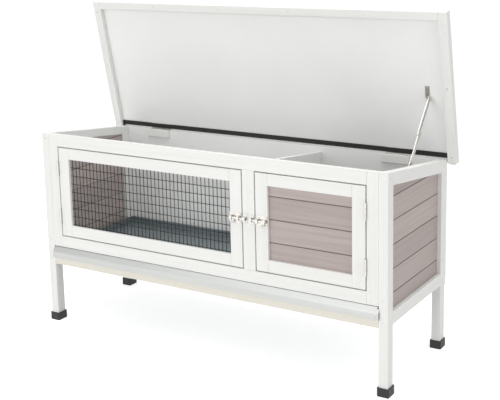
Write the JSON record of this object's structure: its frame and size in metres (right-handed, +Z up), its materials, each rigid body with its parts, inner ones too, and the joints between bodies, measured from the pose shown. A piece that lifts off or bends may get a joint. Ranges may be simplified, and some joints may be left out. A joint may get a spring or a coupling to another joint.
{
  "type": "small animal hutch",
  "caption": "Raised white wooden hutch with open lid on a folding stay, mesh door and boarded door with barrel bolts, boarded sides and a pull-out tray.",
  "frame": {"origin": "on the floor, in the middle of the whole object with its lid open", "axes": "+X to the right seen from the front, +Y to the back, +Z up"},
  "size_m": [1.146, 0.4062, 0.9255],
  "materials": {
    "white_painted_wood": "painted, satin",
    "white_panel": "painted plywood, satin",
    "primed_wood": "thin white paint",
    "stained_boards": "grey-brown stain, satin",
    "foot_cap_plastic": "matte",
    "black_wire": "satin",
    "galvanised_sheet": "galvanised",
    "nickel_hardware": "nickel plated",
    "black_strip": "matte"
  },
  "bodies": {
    "hutch": {"back_panel": "white_panel", "body_hinge_leaves": "nickel_hardware", "body_screws": "nickel_hardware", "centre_stile": "white_painted_wood", "foot_caps": "foot_cap_plastic", "front_bottom_rail": "white_painted_wood", "front_stile_left": "white_painted_wood", "front_stile_right": "white_painted_wood", "front_top_rail": "white_painted_wood", "hinge_blocks": "white_painted_wood", "left_frame_hinge_leaves": "nickel_hardware", "left_keeper": "nickel_hardware", "partition": "white_panel", "post_front_left": "white_painted_wood", "post_front_right": "white_painted_wood", "post_rear_left": "white_painted_wood", "post_rear_right": "white_painted_wood", "right_frame_hinge_leaves": "nickel_hardware", "right_keeper": "nickel_hardware", "side_boards_left": "stained_boards", "side_boards_right": "stained_boards", "side_bottom_rail_left": "white_painted_wood", "side_bottom_rail_right": "white_painted_wood", "side_top_rail_left": "white_painted_wood", "side_top_rail_right": "white_painted_wood", "stay_frame_bracket": "nickel_hardware", "tray_rail_back": "primed_wood", "tray_rail_front": "primed_wood", "tray_supports": "primed_wood"},
    "left_door": {"left_door_hinge_stile": "white_painted_wood", "left_door_latch_stile": "white_painted_wood", "left_door_top_rail": "white_painted_wood", "left_door_bottom_rail": "white_painted_wood", "left_door_mesh": "black_wire", "left_door_hinge_leaves": "nickel_hardware", "left_latch_plate": "nickel_hardware"},
    "right_door": {"right_door_hinge_stile": "white_painted_wood", "right_door_latch_stile": "white_painted_wood", "right_door_top_rail": "white_painted_wood", "right_door_bottom_rail": "white_painted_wood", "right_door_boards": "stained_boards", "right_door_hinge_leaves": "nickel_hardware", "right_latch_plate": "nickel_hardware"},
    "left_bolt": {"left_bolt": "nickel_hardware"},
    "right_bolt": {"right_bolt": "nickel_hardware"},
    "tray": {"tray": "galvanised_sheet", "tray_rivets": "galvanised_sheet"},
    "lid": {"lid_panel": "white_panel", "lid_batten_left": "white_painted_wood", "lid_batten_right": "white_painted_wood", "lid_batten_front": "white_painted_wood", "lid_hinge_leaves": "nickel_hardware", "hinge_strip": "black_strip", "stay_lid_bracket": "nickel_hardware", "lid_screws": "nickel_hardware"},
    "stay_lower_arm": {"stay_lower_arm": "nickel_hardware"},
    "stay_upper_arm": {"stay_upper_arm": "nickel_hardware"},
    "stay_lever": {"stay_lever": "nickel_hardware"}
  },
  "joints": [
    {"name": "lid_hinge", "type": "hinge", "parent": "hutch", "child": "lid", "pos_m": [0, 0.18857, 0.52057], "axis": [1, 0, 0], "range_deg": [0, 71]},
    {"name": "left_door_hinge", "type": "hinge", "parent": "hutch", "child": "left_door", "pos_m": [-0.4865, -0.1972, 0.3985], "axis": [0, 0, -1], "range_deg": [0, 110]},
    {"name": "right_door_hinge", "type": "hinge", "parent": "hutch", "child": "right_door", "pos_m": [0.4865, -0.1972, 0.3985], "axis": [0, 0, 1], "range_deg": [0, 110]},
    {"name": "left_bolt_slide", "type": "slide", "parent": "left_door", "child": "left_bolt", "axis": [1, 0, 0], "range_m": [0, 0.01]},
    {"name": "right_bolt_slide", "type": "slide", "parent": "right_door", "child": "right_bolt", "axis": [-1, 0, 0], "range_m": [0, 0.01]},
    {"name": "tray_slide", "type": "slide", "parent": "hutch", "child": "tray", "axis": [0, -1, 0], "range_m": [0, 0.33]},
    {"name": "stay_lower_pivot", "type": "hinge", "parent": "hutch", "child": "stay_lower_arm", "pos_m": [0.509, -0.0039, 0.516], "axis": [1, 0, 0], "range_deg": [-52.57, 0]},
    {"name": "stay_upper_pivot", "type": "hinge", "parent": "lid", "child": "stay_upper_arm", "pos_m": [0.509, 0.1448, 0.68712], "axis": [1, 0, 0], "range_deg": [0, 47.22]},
    {"name": "stay_lever_pivot", "type": "hinge", "parent": "stay_lower_arm", "child": "stay_lever", "pos_m": [0.509, 0.07639, 0.6084], "axis": [1, 0, 0], "range_deg": [0, 20]}
  ],
  "couplings": [
    {"joint": "stay_lower_pivot", "follows": "lid_hinge", "ratio": -0.7334},
    {"joint": "stay_upper_pivot", "follows": "lid_hinge", "ratio": 0.658}
  ]
}
